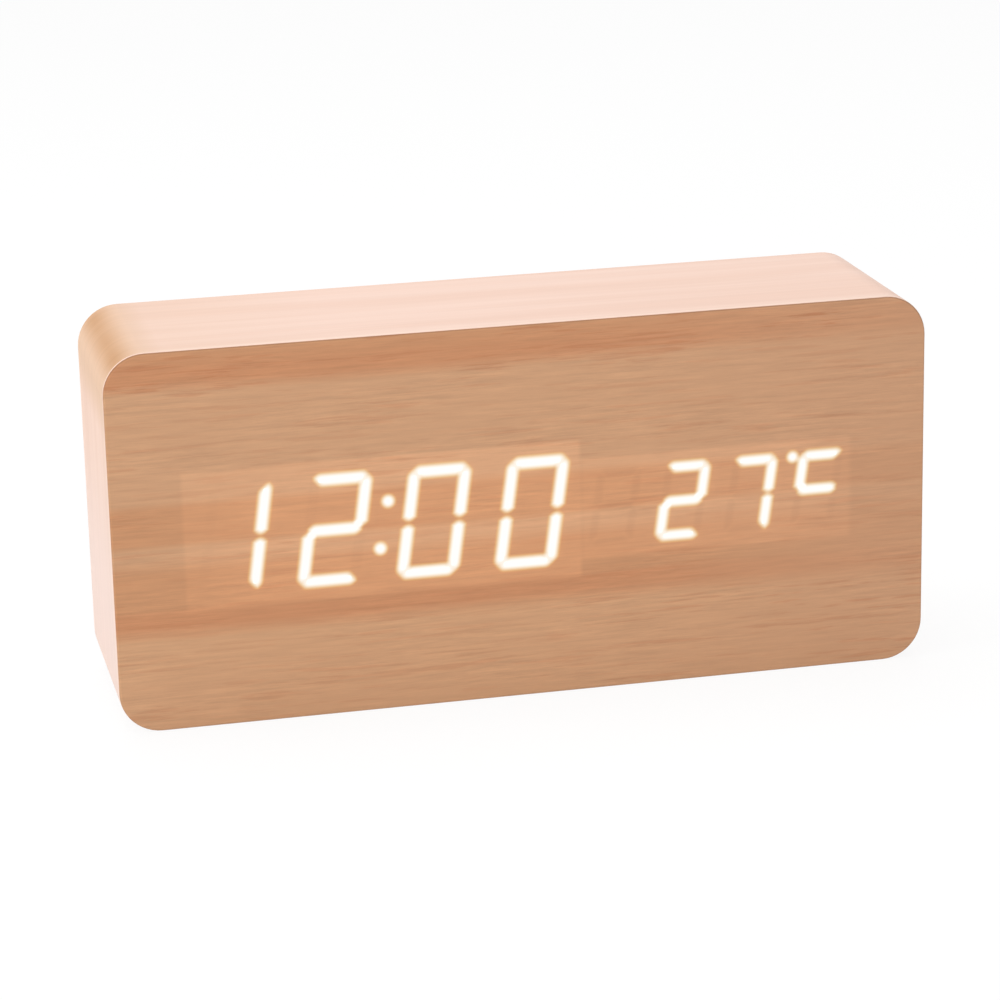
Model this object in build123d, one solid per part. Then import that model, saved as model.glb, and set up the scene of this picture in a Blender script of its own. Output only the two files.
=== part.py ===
from build123d import *
import math
import os
from dataclasses import dataclass

# A digital LED desk clock: a wood-print block whose digits shine through its face.
# Millimetres. +X is to the right seen from the front, the face looks along -Y, +Z is up.
# The origin is at the middle of the base.

# Wood block
film_thickness = 0.6        # printed sheet glued over the front board
film_edge_radius = 0.45
film_edge_limit = 0.8       # most of its thickness that the film's edge may be rounded by
side_wall = 10.0            # ring wall left and right
edge_wall = 9.75            # ring wall above and below
corner_radius = 7.5         # outer corners seen from the front
rim_radius = 0.6            # softened back rim of the ring
post_size = 7.5             # square screw posts in the corners of the cavity
cavity_fillet = 1.5
plate_ledge = 3.5           # width of the rebate that the rear plate sits in
plate_recess = 1.2          # how deep the rear plate lies below the rim

# Display modules
module_depth = 8.0
module_gap = 0.1            # between the two modules
film_gap = 0.1              # between the module faces and the film
window_clearance = 0.2      # between a module and the window routed for it
resin_depth = 3.0           # light-spreading resin in the front of each segment
chip_size = (0.8, 0.6, 0.6)
segment_slant = 8.5         # degrees
segment_tip_gap = 0.45      # from a segment's tip to the corner of its digit
segment_wall = 0.14         # case wall left between the tips of two segments
time_pitch = 18.0           # from digit to digit
time_case_height = 25.4
time_column = 9.28          # between the two columns of a digit
time_bar = 9.3              # between the bars of a digit
time_stroke = 2.1           # width of a segment
time_dot = 1.0              # radius of the colon's dots
time_colon_rise = 4.34      # dots above and below the middle
temp_pitch = 12.7
temp_case_height = 19.0
temp_column = 6.8
temp_bar = 6.4
temp_stroke = 1.8
temp_dot = 0.8
temp_colon_rise = 2.75
degree_shift = 1.03         # degree dot, right of the middle of the last gap
degree_rise = 6.15
display_shift = -0.55       # middle of the modules, right of the middle of the block
display_drop = 0.2          # middle of the time digits, below the middle of the block
temp_drop = 0.25            # middle of the temperature digits, below the time digits

# Display board
board_thickness = 1.6
display_board_margin = (1.55, 4.3)
display_board_clearance = (2.0, 0.5)
small_screw = {"shank": 0.95, "head": 1.9, "head_height": 1.3, "length": 6.0}
display_screw_inset = 2.0
thread_gap = 0.03           # between a screw's shank and its pilot hole
screw_hole_gap = 0.25       # between a screw's shank and a clearance hole
screw_slot = (0.5, 0.6)     # width and depth of the cross in a screw head
cross_reach = 0.55          # half the cross, as a share of the head's radius
head_round = 0.4            # rounding of a screw head, as a share of its height
inner_gap = 16.7            # clear depth between the two boards

# Parts on the back of the display board
controller_size = (18.0, 2.3, 7.5)
controller_gap = 2.0        # from the ribbon's connector
controller_rise = 4.0       # above the middle of the board
crystal_radius = 1.0
crystal_length = 6.0
crystal_round = 0.3         # rounding of its ends, as a share of the radius
crystal_at = (-14.0, 8.0)   # x, z from the middle of the board
capacitor_radius = 3.15
capacitor_height = 7.0
can_round = 0.1             # rounding of round cans and cells, as a share of the radius
capacitor_at = (-14.0, -6.0)
resistor_size = (2.0, 0.55, 1.25)
resistor_count = 8
resistor_pitch = 2.6
resistors_drop = 5.0        # row of resistors below the middle of the board

# Ribbon cable between the boards
connector_size = (12.0, 5.0, 5.0)
ribbon_width = 10.0
ribbon_thickness = 0.9
ribbon_bend = 0.75          # bend radius as a share of the straight run beside it
ribbon_rise = 4.0           # display end above the middle of the block
ribbon_drop = 5.0           # control end below the middle of the block

# Rear plate
ledge_thickness = 0.6       # left under the battery door
plate_gap = 0.3
plate_corner = 4.0
plate_edge_radius = 0.4
plate_screw = {"shank": 1.4, "head": 2.7, "head_height": 1.3, "length": 12.0}
counterbore_depth = 1.4
counterbore_gap = 0.3

# Control board
control_board_size = (50.0, 32.0)
control_board_gap = 0.5     # from the screw posts on its side
boss_radius = 2.6
boss_inset = 3.5
column_gap = 4.9            # outer buttons, switch and jack from the bosses beside them
lower_row_drop = 9.75       # jack, microphone and sound switch below the middle of the block

# Buttons
button_rise = 8.5           # above the middle of the block
button_radius = 3.3
button_hole_gap = 0.25
button_proud = 1.0
button_flange = 1.1         # flange beyond the cap
button_flange_thickness = 0.9
button_flange_gap = 0.05
button_stem = 0.65          # from the flange to the plunger
button_edge = 0.5
button_travel = 0.5
switch_size = (6.0, 3.5, 6.0)
plunger_radius = 1.75
plunger_gap = 0.15
plunger_seat = 0.5          # how far the plunger reaches into its switch at rest
plunger_height = 1.5        # how far it stands out of its switch
plunger_spare = 0.4         # room left under a pressed plunger

# Sound switch, power jack, microphone, buzzer and sensor
sound_switch_size = (8.6, 3.7, 4.4)
sound_travel = 2.0
knob_neck = 1.9
knob_neck_depth = 1.3
knob_size = (3.0, 3.0)
knob_gap = 0.3
knob_proud = 0.9
knob_groove = (0.4, 0.35)
jack_base = (7.0, 3.0, 7.0)
jack_radius = 3.0
jack_hole_gap = 0.25
jack_bore = 1.8
jack_floor = 1.0
jack_pin_radius = 0.65
jack_pin_root = (1.1, 0.6)
jack_pin_set_back = 1.8
microphone_radius = 3.0
microphone_depth = 2.7
microphone_wall = 0.9
microphone_gap = 0.1
microphone_hole = 0.8
lead_radius = 0.25
lead_spacing = 2.54
buzzer_at = (-11.0, 3.0)    # x, z from the middle of the control board, on its inner face
buzzer_radius = 6.0
buzzer_height = 5.6
buzzer_hole = (1.0, 1.0)
vent_slot = (8.0, 1.2)
vent_pitch = 2.6
vent_count = 3
vent_drop = 0.75            # vents and sensor below the middle of the block
sensor_radius = 1.4
sensor_length = 2.6
bead_round = 0.8            # rounding of the sensor's tip, as a share of the radius
sensor_lead_spacing = 1.2
sensor_gap = 0.6            # from the bead to the rear plate

# Battery bay: AAA cells side by side, one above the other
cell_radius = 5.25
cell_length = 44.5
cell_count = 3
nub_radius = 1.9
nub_length = 0.8
cell_gap = 0.5
cell_slack = 0.2            # between a cell and the tray
cell_cover = 0.4            # between a cell and the door
contact_thickness = 0.4
contact_size = (9.0, 9.0)
contact_gap = 0.05
tail_width = 2.0
tail_reach = 1.6            # tail beyond the tray's wall
tail_gap = 0.15
tail_drop = 3.9             # tail below the cell's axis, towards the tray's floor
spring_length = 5.2
spring_wire = 0.35
spring_base = 3.4
spring_top = 2.0
spring_turns = 4
tray_wall = 1.6
tray_clearance = 2.2        # from the screw posts on its side
rib_width = 1.0
rib_height = 2.2
wire_radius = 0.65
wire_bend = 1.6
wire_run = 2.4              # straight from a tail to the first bend
wire_drop = 2.6             # wires run this far in front of the tray
wire_pad_inset = 7.0        # solder pads from the edge of the control board

# Battery door, hinged at its top edge
door_thickness = 2.0
door_lip = 2.4              # door beyond the bay on each side
door_gap = 0.3
door_seat_gap = 0.2
hinge_pin_radius = 0.6
hinge_pin_length = 1.5
hinge_pin_gap = 0.05
hinge_end_gap = 0.3
latch_width = 14.0
latch_length = 8.0
latch_slit = 0.8
tooth_size = (8.0, 1.4, 1.0)
tooth_inset = 0.75          # tooth's middle from the door's free edge
tooth_gap = 0.4
finger_notch_radius = 7.0
finger_notch_depth = 1.3
finger_notch_reach = 3.0
grip_count = 4
grip_size = (10.0, 0.5, 0.4)
grip_pitch = 1.4


@dataclass
class Module:
    """One row of seven-segment digits in a moulded case."""
    pitch: float        # from digit to digit
    height: float       # of the case
    column: float       # between the two columns of a digit
    bar: float          # between the bars of a digit
    stroke: float       # width of a segment
    dot: float          # radius of the round dots
    shown: tuple        # what each digit shows
    colon_rise: float   # dots above and below the middle
    colon_lit: bool
    degree: tuple       # x from the last gap's middle and z of the degree dot, or empty

    @property
    def width(self):
        return self.pitch * len(self.shown)


TIME = Module(time_pitch, time_case_height, time_column, time_bar, time_stroke, time_dot,
              ("1", "2", "0", "0"), time_colon_rise, True, ())
TEMP = Module(temp_pitch, temp_case_height, temp_column, temp_bar, temp_stroke, temp_dot,
              ("", "2", "7", "raised c"), temp_colon_rise, False, (degree_shift, degree_rise))
LIT = {"": "", "0": "abcdef", "1": "bc", "2": "abged", "7": "abc", "raised c": "afg"}
BARS = {"a": 1, "g": 0, "d": -1}
COLUMNS = {"f": (-1, 1), "b": (1, 1), "e": (-1, -1), "c": (1, -1)}

# Sizes that follow from the values above
display_width = TIME.width + module_gap + TEMP.width
display_board_width = display_width + 2 * display_board_margin[0]
display_board_height = max(TIME.height, TEMP.height) + 2 * display_board_margin[1]
bay_length = cell_length + spring_length + 2 * contact_thickness + 2 * contact_gap
bay_height = cell_count * 2 * cell_radius + (cell_count - 1) * cell_gap + 2 * cell_slack
tray_length = bay_length + 2 * tray_wall
rear_width = (control_board_gap + control_board_size[0] + 2 * wire_run + tail_reach
              + tray_length + tray_clearance)
cavity_width = max(display_board_width + 2 * display_board_clearance[0], rear_width + 2 * post_size)
cavity_height = display_board_height + 2 * (post_size + display_board_clearance[1])
case_width = cavity_width + 2 * side_wall
case_height = cavity_height + 2 * edge_wall
front_board_thickness = module_depth + film_gap
plate_thickness = door_thickness + door_seat_gap + ledge_thickness
standoff = switch_size[1] + plunger_height + button_stem + button_flange_thickness + button_flange_gap
case_depth = (film_thickness + front_board_thickness + board_thickness + inner_gap
              + board_thickness + standoff + plate_thickness + plate_recess)

middle = case_height / 2
front = -case_depth / 2
film_back = front + film_thickness
board_back = film_back + front_board_thickness      # where the display board sits
module_front = board_back - module_depth
display_back = board_back + board_thickness
back = case_depth / 2
plate_out = back - plate_recess
plate_in = plate_out - plate_thickness
control_back = plate_in - standoff                  # face with the switches
control_front = control_back - board_thickness

display_x = display_shift
display_z = middle - display_drop
time_x = display_x - display_width / 2 + TIME.width / 2
temp_x = display_x + display_width / 2 - TEMP.width / 2
temp_z = display_z - temp_drop
post_x = cavity_width / 2 - post_size / 2
post_z = cavity_height / 2 - post_size / 2

control_x = -cavity_width / 2 + post_size + control_board_gap + control_board_size[0] / 2
column = control_board_size[0] / 2 - boss_inset - boss_radius - column_gap
button_x = [control_x - column, control_x, control_x + column]
jack_x, microphone_x, sound_switch_x = button_x
lower_row_z = middle - lower_row_drop
vent_z = middle - vent_drop
button_z = middle + button_rise
plunger_top = control_back + switch_size[1] + plunger_height

tray_right = cavity_width / 2 - post_size - tray_clearance
bay_x = tray_right - tray_wall - bay_length / 2
door_in = plate_out - door_thickness
cell_y = door_in - cell_cover - cell_radius
bay_floor = cell_y - cell_radius - cell_slack
tray_back = bay_floor - tray_wall
row_z = [middle + ((cell_count - 1) / 2 - i) * (2 * cell_radius + cell_gap) for i in range(cell_count)]
door_width = bay_length + 2 * door_lip
door_height = bay_height + 2 * door_lip
hinge_y = plate_out - door_thickness / 2
hinge_z = middle + door_height / 2 - door_thickness / 2
tail_y = cell_y - tail_drop


def block(x0, x1, y0, y1, z0, z1):
    """Box between two corners."""
    return Pos((x0 + x1) / 2, (y0 + y1) / 2, (z0 + z1) / 2) * Box(x1 - x0, y1 - y0, z1 - z0)


def slab(sketch, y0, y1):
    """A sketch drawn in x and z, made solid from y0 to y1."""
    return extrude(Plane.XZ.offset(-y1) * sketch, amount=y1 - y0)


def rod(x, z, radius, y0, y1):
    """Round bar along Y."""
    return slab(Pos(x, z) * Circle(radius), y0, y1)


def group(solids):
    """Separate solids that share one node."""
    return Compound(children=[solid for part in solids for solid in part.solids()])


def around(x, z, dx, dz):
    """The four corners of a rectangle about a point."""
    return [(x + i * dx, z + j * dz) for i in (-1, 1) for j in (-1, 1)]


def screw(x, z, size, seat, sign):
    """Pan-head screw with its head on the plane y = seat and its shank along -sign * Y."""
    tip = seat - sign * size["length"]
    top = seat + sign * size["head_height"]
    body = rod(x, z, size["shank"], min(seat, tip), max(seat, tip))
    head = rod(x, z, size["head"], min(seat, top), max(seat, top))
    rim = head.edges().filter_by(GeomType.CIRCLE).sort_by(Axis.Y)[-1 if sign > 0 else 0]
    head = fillet(rim, size["head_height"] * head_round)
    floor = top - sign * screw_slot[1]
    y0, y1 = min(floor, top), max(floor, top)
    reach = size["head"] * cross_reach
    half = screw_slot[0] / 2
    cross = block(x - reach, x + reach, y0, y1, z - half, z + half)
    cross += block(x - half, x + half, y0, y1, z - reach, z + reach)
    return body + head - cross


def pilot(x, z, size, seat, sign, passed):
    """Hole for the shank below what the screw passes through."""
    mouth = seat - sign * passed
    end = seat - sign * (size["length"] + thread_gap)
    return rod(x, z, size["shank"] + thread_gap, min(mouth, end), max(mouth, end))


# Wood block

def outline():
    return Pos(0, middle) * RectangleRounded(case_width, case_height, corner_radius)


def front_film():
    sheet = slab(outline(), front, film_back)
    radius = min(film_edge_radius, film_thickness * film_edge_limit)
    return fillet(sheet.faces().sort_by(Axis.Y)[0].edges(), radius)


def window(module, x, z):
    clear = 2 * window_clearance
    return Pos(x, z) * Rectangle(module.width + clear, module.height + clear)


def display_screw_places():
    dx = display_board_width / 2 - display_screw_inset
    dz = display_board_height / 2 - display_screw_inset
    return around(display_x, display_z, dx, dz)


def front_board():
    windows = window(TIME, time_x, display_z) + window(TEMP, temp_x, temp_z)
    board = slab(outline() - windows, film_back, board_back)
    for x, z in display_screw_places():
        board -= pilot(x, z, small_screw, display_back, 1, board_thickness)
    return board


def cavity():
    opening = Rectangle(cavity_width, cavity_height)
    for x, z in around(0, 0, post_x, post_z):
        opening -= Pos(x, z) * Rectangle(post_size, post_size)
    return Pos(0, middle) * fillet(opening.vertices(), cavity_fillet)


def plate_outline(gap):
    """Rebate for the rear plate, or with a gap the plate itself."""
    width = cavity_width + 2 * plate_ledge - 2 * gap
    height = cavity_height + 2 * plate_ledge - 2 * gap
    return Pos(0, middle) * RectangleRounded(width, height, plate_corner - gap)


def case_ring():
    ring = slab(outline(), board_back, back)
    ring = fillet(ring.faces().sort_by(Axis.Y)[-1].edges(), rim_radius)
    ring -= slab(cavity(), board_back, back)
    ring -= slab(plate_outline(0), plate_in, back)
    seat = plate_out - counterbore_depth
    for x, z in around(0, middle, post_x, post_z):
        ring -= pilot(x, z, plate_screw, seat, 1, seat - plate_in)
    return ring


# Displays

def slanted(module, digit, points):
    """Outline points of one digit, leaned over and placed in its module."""
    lean = math.tan(math.radians(segment_slant))
    offset = (digit - (len(module.shown) - 1) / 2) * module.pitch
    return [(offset + x + z * lean, z) for x, z in points]


def segment_points(module, letter):
    """Blunt-ended bar or column about the digit's middle."""
    half = module.stroke / 2
    length = (module.column if letter in BARS else module.bar) / 2 - segment_tip_gap
    tip = segment_tip_gap - segment_wall / math.sqrt(2)
    shoulder = length - (half - tip)
    right = [(shoulder, -half), (length, -tip), (length, tip), (shoulder, half)]
    points = right + [(-u, -v) for u, v in right]
    if letter in BARS:
        return [(u, v + BARS[letter] * module.bar) for u, v in points]
    side, level = COLUMNS[letter]
    return [(side * module.column / 2 - v, u + level * module.bar / 2) for u, v in points]


def dots(module):
    """Round dots as x, z, lit in the module."""
    lean = math.tan(math.radians(segment_slant))
    found = [(0, sign * module.colon_rise, module.colon_lit) for sign in (1, -1)]
    if module.degree:
        last_gap = (len(module.shown) / 2 - 1) * module.pitch
        found.append((last_gap + module.degree[0], module.degree[1], True))
    return [(x + z * lean, z, lit) for x, z, lit in found]


def segment_sketches(module, x, z):
    """Every segment and dot as (sketch, middle, lit), in the frame of the block."""
    sketches = []
    for digit, shown in enumerate(module.shown):
        for letter in "abcdefg":
            points = slanted(module, digit, segment_points(module, letter))
            centre = (sum(p[0] for p in points) / len(points), sum(p[1] for p in points) / len(points))
            sketch = Pos(x, z) * Polygon(*points)
            sketches.append((sketch, (x + centre[0], z + centre[1]), letter in LIT[shown]))
    for dx, dz, lit in dots(module):
        sketches.append((Pos(x + dx, z + dz) * Circle(module.dot), (x + dx, z + dz), lit))
    return sketches


def display_case(module, x, z):
    face = Pos(x, z) * Rectangle(module.width, module.height)
    for sketch, _, _ in segment_sketches(module, x, z):
        face -= sketch
    return slab(face, module_front, board_back)


def segments(module, x, z, lit):
    chosen = [sketch for sketch, _, on in segment_sketches(module, x, z) if on == lit]
    return group(slab(sketch, module_front, module_front + resin_depth) for sketch in chosen)


def led_chips():
    places = segment_sketches(TIME, time_x, display_z) + segment_sketches(TEMP, temp_x, temp_z)
    width, depth, height = chip_size
    return group(Pos(x, board_back - depth / 2, z) * Box(width, depth, height) for _, (x, z), _ in places)


def display_board():
    board = Pos(display_x, display_z) * Rectangle(display_board_width, display_board_height)
    for x, z in display_screw_places():
        board -= Pos(x, z) * Circle(small_screw["shank"] + screw_hole_gap)
    return slab(board, board_back, display_back)


controller_x = control_x - display_x - connector_size[0] / 2 - controller_gap - controller_size[0] / 2


def on_display(at, size):
    """Box that stands on the back of the display board."""
    width, depth, height = size
    return Pos(display_x + at[0], display_back + depth / 2, display_z + at[1]) * Box(width, depth, height)


def clock_crystal():
    x, z = display_x + crystal_at[0], display_z + crystal_at[1]
    can = Pos(x, display_back + crystal_radius, z) * Cylinder(crystal_radius, crystal_length)
    return fillet(can.edges(), crystal_radius * crystal_round)


def filter_capacitor():
    x, z = display_x + capacitor_at[0], display_z + capacitor_at[1]
    can = rod(x, z, capacitor_radius, display_back, display_back + capacitor_height)
    return fillet(can.edges().sort_by(Axis.Y)[-1], capacitor_radius * can_round)


def segment_resistors():
    first = controller_x - (resistor_count - 1) / 2 * resistor_pitch
    places = [(first + i * resistor_pitch, -resistors_drop) for i in range(resistor_count)]
    return group(on_display(at, resistor_size) for at in places)


# Ribbon cable

def connector(z, y0, y1):
    half = connector_size[0] / 2
    return block(control_x - half, control_x + half, y0, y1, z - connector_size[2] / 2,
                 z + connector_size[2] / 2)


ribbon_top = middle + ribbon_rise
ribbon_bottom = middle - ribbon_drop
ribbon_from = display_back + connector_size[1]
ribbon_to = control_front - connector_size[1]


def ribbon_cable():
    halfway = (ribbon_from + ribbon_to) / 2
    points = [(control_x, ribbon_from, ribbon_top), (control_x, halfway, ribbon_top),
              (control_x, halfway, ribbon_bottom), (control_x, ribbon_to, ribbon_bottom)]
    path = FilletPolyline(*points, radius=ribbon_bend * (halfway - ribbon_from))
    section = Pos(control_x, ribbon_top) * Rectangle(ribbon_width, ribbon_thickness)
    section = Plane.XZ.offset(-ribbon_from) * section
    return sweep(section, path=path)


# Control board and what stands on it

def boss_places():
    dx = control_board_size[0] / 2 - boss_inset
    dz = control_board_size[1] / 2 - boss_inset
    return around(control_x, middle, dx, dz)


def control_board():
    board = Pos(control_x, middle) * Rectangle(*control_board_size)
    for x, z in boss_places():
        board -= Pos(x, z) * Circle(small_screw["shank"] + screw_hole_gap)
    return slab(board, control_front, control_back)


def stand(x, z, size):
    """Box that stands on the switch side of the control board."""
    width, depth, height = size
    return Pos(x, control_back + depth / 2, z) * Box(width, depth, height)


def tact_switch_bodies():
    floor = control_back + switch_size[1] - plunger_seat - button_travel - plunger_spare
    hole = [rod(x, button_z, plunger_radius + plunger_gap, floor, plunger_top) for x in button_x]
    return group(stand(x, button_z, switch_size) - cut for x, cut in zip(button_x, hole))


def plunger(x):
    return rod(x, button_z, plunger_radius, plunger_top - plunger_height - plunger_seat, plunger_top)


def button(x):
    """Round cap with a flange behind the plate and a stem that rests on its plunger."""
    flange_top = plate_in - button_flange_gap
    flange_bottom = flange_top - button_flange_thickness
    cap = rod(x, button_z, button_radius, flange_bottom, plate_out + button_proud)
    cap = fillet(cap.edges().filter_by(GeomType.CIRCLE).sort_by(Axis.Y)[-1], button_edge)
    cap += rod(x, button_z, button_radius + button_flange, flange_bottom, flange_top)
    return cap + rod(x, button_z, plunger_radius, plunger_top, flange_bottom)


knob_top = plate_out + knob_proud
knob_bottom = control_back + sound_switch_size[1] - knob_neck_depth


def sound_switch_body():
    x, z = sound_switch_x, lower_row_z
    top = control_back + sound_switch_size[1]
    length = (knob_neck + sound_travel) / 2 + knob_gap
    width = knob_neck / 2 + knob_gap
    slot = block(x - length, x + length, knob_bottom - knob_gap, top, z - width, z + width)
    return stand(x, z, sound_switch_size) - slot


def sound_switch_knob():
    """Stored at the left end of its travel."""
    x, z = sound_switch_x - sound_travel / 2, lower_row_z
    shoulder = control_back + sound_switch_size[1] + knob_gap
    half_x, half_z = knob_size[0] / 2, knob_size[1] / 2
    half = knob_neck / 2
    neck = block(x - half, x + half, knob_bottom, shoulder, z - half, z + half)
    grip = block(x - half_x, x + half_x, shoulder, knob_top, z - half_z, z + half_z)
    for step in (-1, 0, 1):
        groove_x = x + step * knob_size[0] / 3
        half = knob_groove[0] / 2
        grip -= block(groove_x - half, groove_x + half, knob_top - knob_groove[1], knob_top,
                      z - half_z, z + half_z)
    return neck + grip


jack_floor_y = control_back + jack_floor
jack_pin_tip = plate_out - jack_pin_set_back


def power_jack_body():
    x, z = jack_x, lower_row_z
    body = stand(x, z, jack_base) + rod(x, z, jack_radius, control_back, plate_out)
    body -= rod(x, z, jack_bore, jack_floor_y, plate_out)
    return body - rod(x, z, jack_pin_root[0], jack_floor_y - jack_pin_root[1], jack_floor_y)


def power_jack_pin():
    x, z = jack_x, lower_row_z
    root = rod(x, z, jack_pin_root[0], jack_floor_y - jack_pin_root[1], jack_floor_y)
    return root + rod(x, z, jack_pin_radius, jack_floor_y, jack_pin_tip)


def leads(x, z, spacing, top):
    """Two wire legs down to the control board."""
    legs = [rod(x + i * spacing / 2, z, lead_radius, control_back, top) for i in (-1, 1)]
    return legs[0] + legs[1]


def microphone():
    x, z = microphone_x, lower_row_z
    bottom = plate_in - microphone_depth
    return rod(x, z, microphone_radius, bottom, plate_in) + leads(x, z, lead_spacing, bottom)


def buzzer():
    x, z = control_x + buzzer_at[0], middle + buzzer_at[1]
    top = control_front - buzzer_height
    can = rod(x, z, buzzer_radius, top, control_front)
    can = fillet(can.edges().sort_by(Axis.Y)[0], buzzer_radius * can_round)
    return can - rod(x, z, buzzer_hole[0], top, top + buzzer_hole[1])


def temperature_sensor():
    x, z = control_x, vent_z
    bottom = plate_in - sensor_gap - sensor_length
    bead = rod(x, z, sensor_radius, bottom, bottom + sensor_length)
    bead = fillet(bead.edges().filter_by(GeomType.CIRCLE).sort_by(Axis.Y)[-1], sensor_radius * bead_round)
    return bead + leads(x, z, sensor_lead_spacing, bottom)


# Rear plate and the battery tray welded to its inner face

def door_opening():
    clear = 2 * door_gap
    return Pos(bay_x, middle) * RectangleRounded(door_width + clear, door_height + clear, 2 * door_gap)


def control_cuts():
    """Openings of the plate over the control board."""
    cuts = [rod(x, button_z, button_radius + button_hole_gap, plate_in, plate_out) for x in button_x]
    x, z = sound_switch_x, lower_row_z
    reach = (knob_size[0] + sound_travel) / 2 + knob_gap
    side = knob_size[1] / 2 + knob_gap
    cuts.append(block(x - reach, x + reach, plate_in, plate_out, z - side, z + side))
    cuts.append(rod(jack_x, lower_row_z, jack_radius + jack_hole_gap, plate_in, plate_out))
    cuts.append(rod(microphone_x, lower_row_z, microphone_hole, plate_in, plate_out))
    for i in range(vent_count):
        z = vent_z + (i - (vent_count - 1) / 2) * vent_pitch
        cuts.append(slab(Pos(control_x, z) * SlotOverall(*vent_slot), plate_in, plate_out))
    return cuts


def tooth(clear):
    """Tooth at the door's free edge, or with a clearance the pocket that takes it."""
    width, depth, height = tooth_size
    z = middle - door_height / 2 + tooth_inset
    half = width / 2 + clear
    return block(bay_x - half, bay_x + half, door_in - depth - clear, door_in,
                 z - height / 2 - clear, z + height / 2 + clear)


def hinge_bar(radius, reach):
    """Round bar on the hinge axis, reach beyond each side of the door."""
    bar = Cylinder(radius, door_width + 2 * reach, rotation=(0, 90, 0))
    return Pos(bay_x, hinge_y, hinge_z) * bar


def door_cuts():
    """Recess, bay, hinge sockets, tooth pocket and finger notch for the battery door."""
    half_x, half_z = bay_length / 2, bay_height / 2
    edge = middle - door_height / 2 - door_gap
    notch = Pos(bay_x, edge + finger_notch_radius - finger_notch_reach) * Circle(finger_notch_radius)
    return [slab(door_opening(), door_in - door_seat_gap, plate_out),
            block(bay_x - half_x, bay_x + half_x, plate_in, plate_out, middle - half_z, middle + half_z),
            hinge_bar(hinge_pin_radius + hinge_pin_gap, hinge_pin_length + hinge_end_gap),
            tooth(tooth_gap),
            slab(notch, plate_out - finger_notch_depth, plate_out)]


def rear_plate():
    plate = slab(plate_outline(plate_gap), plate_in, plate_out)
    plate = fillet(plate.faces().sort_by(Axis.Y)[-1].edges(), plate_edge_radius)
    for x, z in boss_places():
        plate += rod(x, z, boss_radius, control_back, plate_in)
    cup = microphone_x, lower_row_z
    bore = microphone_radius + microphone_gap
    plate += rod(*cup, bore + microphone_wall, plate_in - microphone_depth, plate_in)
    plate -= rod(*cup, bore, plate_in - microphone_depth, plate_in)
    for cut in control_cuts() + door_cuts():
        plate -= cut
    for x, z in boss_places():
        plate -= pilot(x, z, small_screw, control_front, -1, board_thickness)
    for x, z in around(0, middle, post_x, post_z):
        plate -= rod(x, z, plate_screw["shank"] + screw_hole_gap, plate_in, plate_out)
        plate -= rod(x, z, plate_screw["head"] + counterbore_gap, plate_out - counterbore_depth, plate_out)
    return plate


def battery_tray():
    """Open box behind the plate, with ribs in the hollows between the cells."""
    half_x, half_z = bay_length / 2, bay_height / 2
    box = block(bay_x - half_x - tray_wall, tray_right, tray_back, plate_in,
                middle - half_z - tray_wall, middle + half_z + tray_wall)
    box -= block(bay_x - half_x, bay_x + half_x, bay_floor, plate_in, middle - half_z, middle + half_z)
    for cut in tail_slots() + [tooth(tooth_gap)]:
        box -= cut
    half_x -= contact_thickness + 2 * contact_gap
    for above, below in zip(row_z, row_z[1:]):
        z = (above + below) / 2
        box += block(bay_x - half_x, bay_x + half_x, bay_floor, bay_floor + rib_height,
                     z - rib_width / 2, z + rib_width / 2)
    return box


def battery_door():
    """Flat door with a rounded top edge and pins, a springy tongue and finger grips at its foot."""
    half = door_width / 2
    foot = middle - door_height / 2
    door = block(bay_x - half, bay_x + half, door_in, plate_out, foot, hinge_z)
    door += hinge_bar(door_thickness / 2, 0)
    door += hinge_bar(hinge_pin_radius, hinge_pin_length)
    for side in (-1, 1):
        x = bay_x + side * (latch_width + latch_slit) / 2
        door -= block(x - latch_slit / 2, x + latch_slit / 2, door_in, plate_out, foot, foot + latch_length)
    for i in range(grip_count):
        z = foot + (i + 1) * grip_pitch
        x = grip_size[0] / 2
        door += block(bay_x - x, bay_x + x, plate_out, plate_out + grip_size[2],
                      z - grip_size[1] / 2, z + grip_size[1] / 2)
    return door + tooth(0)


# Cells, contacts, springs and wires

bay_left = bay_x - bay_length / 2
bay_right = bay_x + bay_length / 2
skin = contact_gap + contact_thickness      # from the tray's end to the face of a contact


def nub_side(row):
    """Side of the bay, -1 or 1, that a row's positive end faces."""
    return -1 if row % 2 == 0 else 1


def along_x(x0, x1, radius, z):
    bar = Cylinder(radius, abs(x1 - x0), rotation=(0, 90, 0))
    return Pos((x0 + x1) / 2, cell_y, z) * bar


def battery_cell(row):
    side = nub_side(row)
    tip = bay_left + skin if side < 0 else bay_right - skin
    shoulder = tip - side * nub_length
    foot = tip - side * cell_length
    body = along_x(shoulder, foot, cell_radius, row_z[row])
    body = fillet(body.edges().filter_by(GeomType.CIRCLE), cell_radius * can_round)
    return body + along_x(tip, shoulder, nub_radius, row_z[row])


def contact(side, rows, has_tail):
    """Sheet-metal contact against one end of the tray, across one row or two."""
    wall = bay_left if side < 0 else bay_right
    faces = sorted((wall - side * contact_gap, wall - side * skin))
    heights = [row_z[row] for row in rows]
    half_y, half_z = contact_size[0] / 2, contact_size[1] / 2
    plate = block(*faces, cell_y - half_y, cell_y + half_y, min(heights) - half_z, max(heights) + half_z)
    if has_tail:
        plate += tail(side, heights[0], 0)
    return plate


def tail_end(side):
    return bay_left - tray_wall - tail_reach if side < 0 else bay_right + tray_wall + tail_reach


def tail(side, z, clear):
    """Solder tail through the tray's end, or with a clearance the slot for it."""
    wall = bay_left if side < 0 else bay_right
    x0, x1 = sorted((wall - side * contact_gap, tail_end(side)))
    half_y, half_z = contact_thickness / 2 + clear, tail_width / 2 + clear
    return block(x0, x1, tail_y - half_y, tail_y + half_y, z - half_z, z + half_z)


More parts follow.
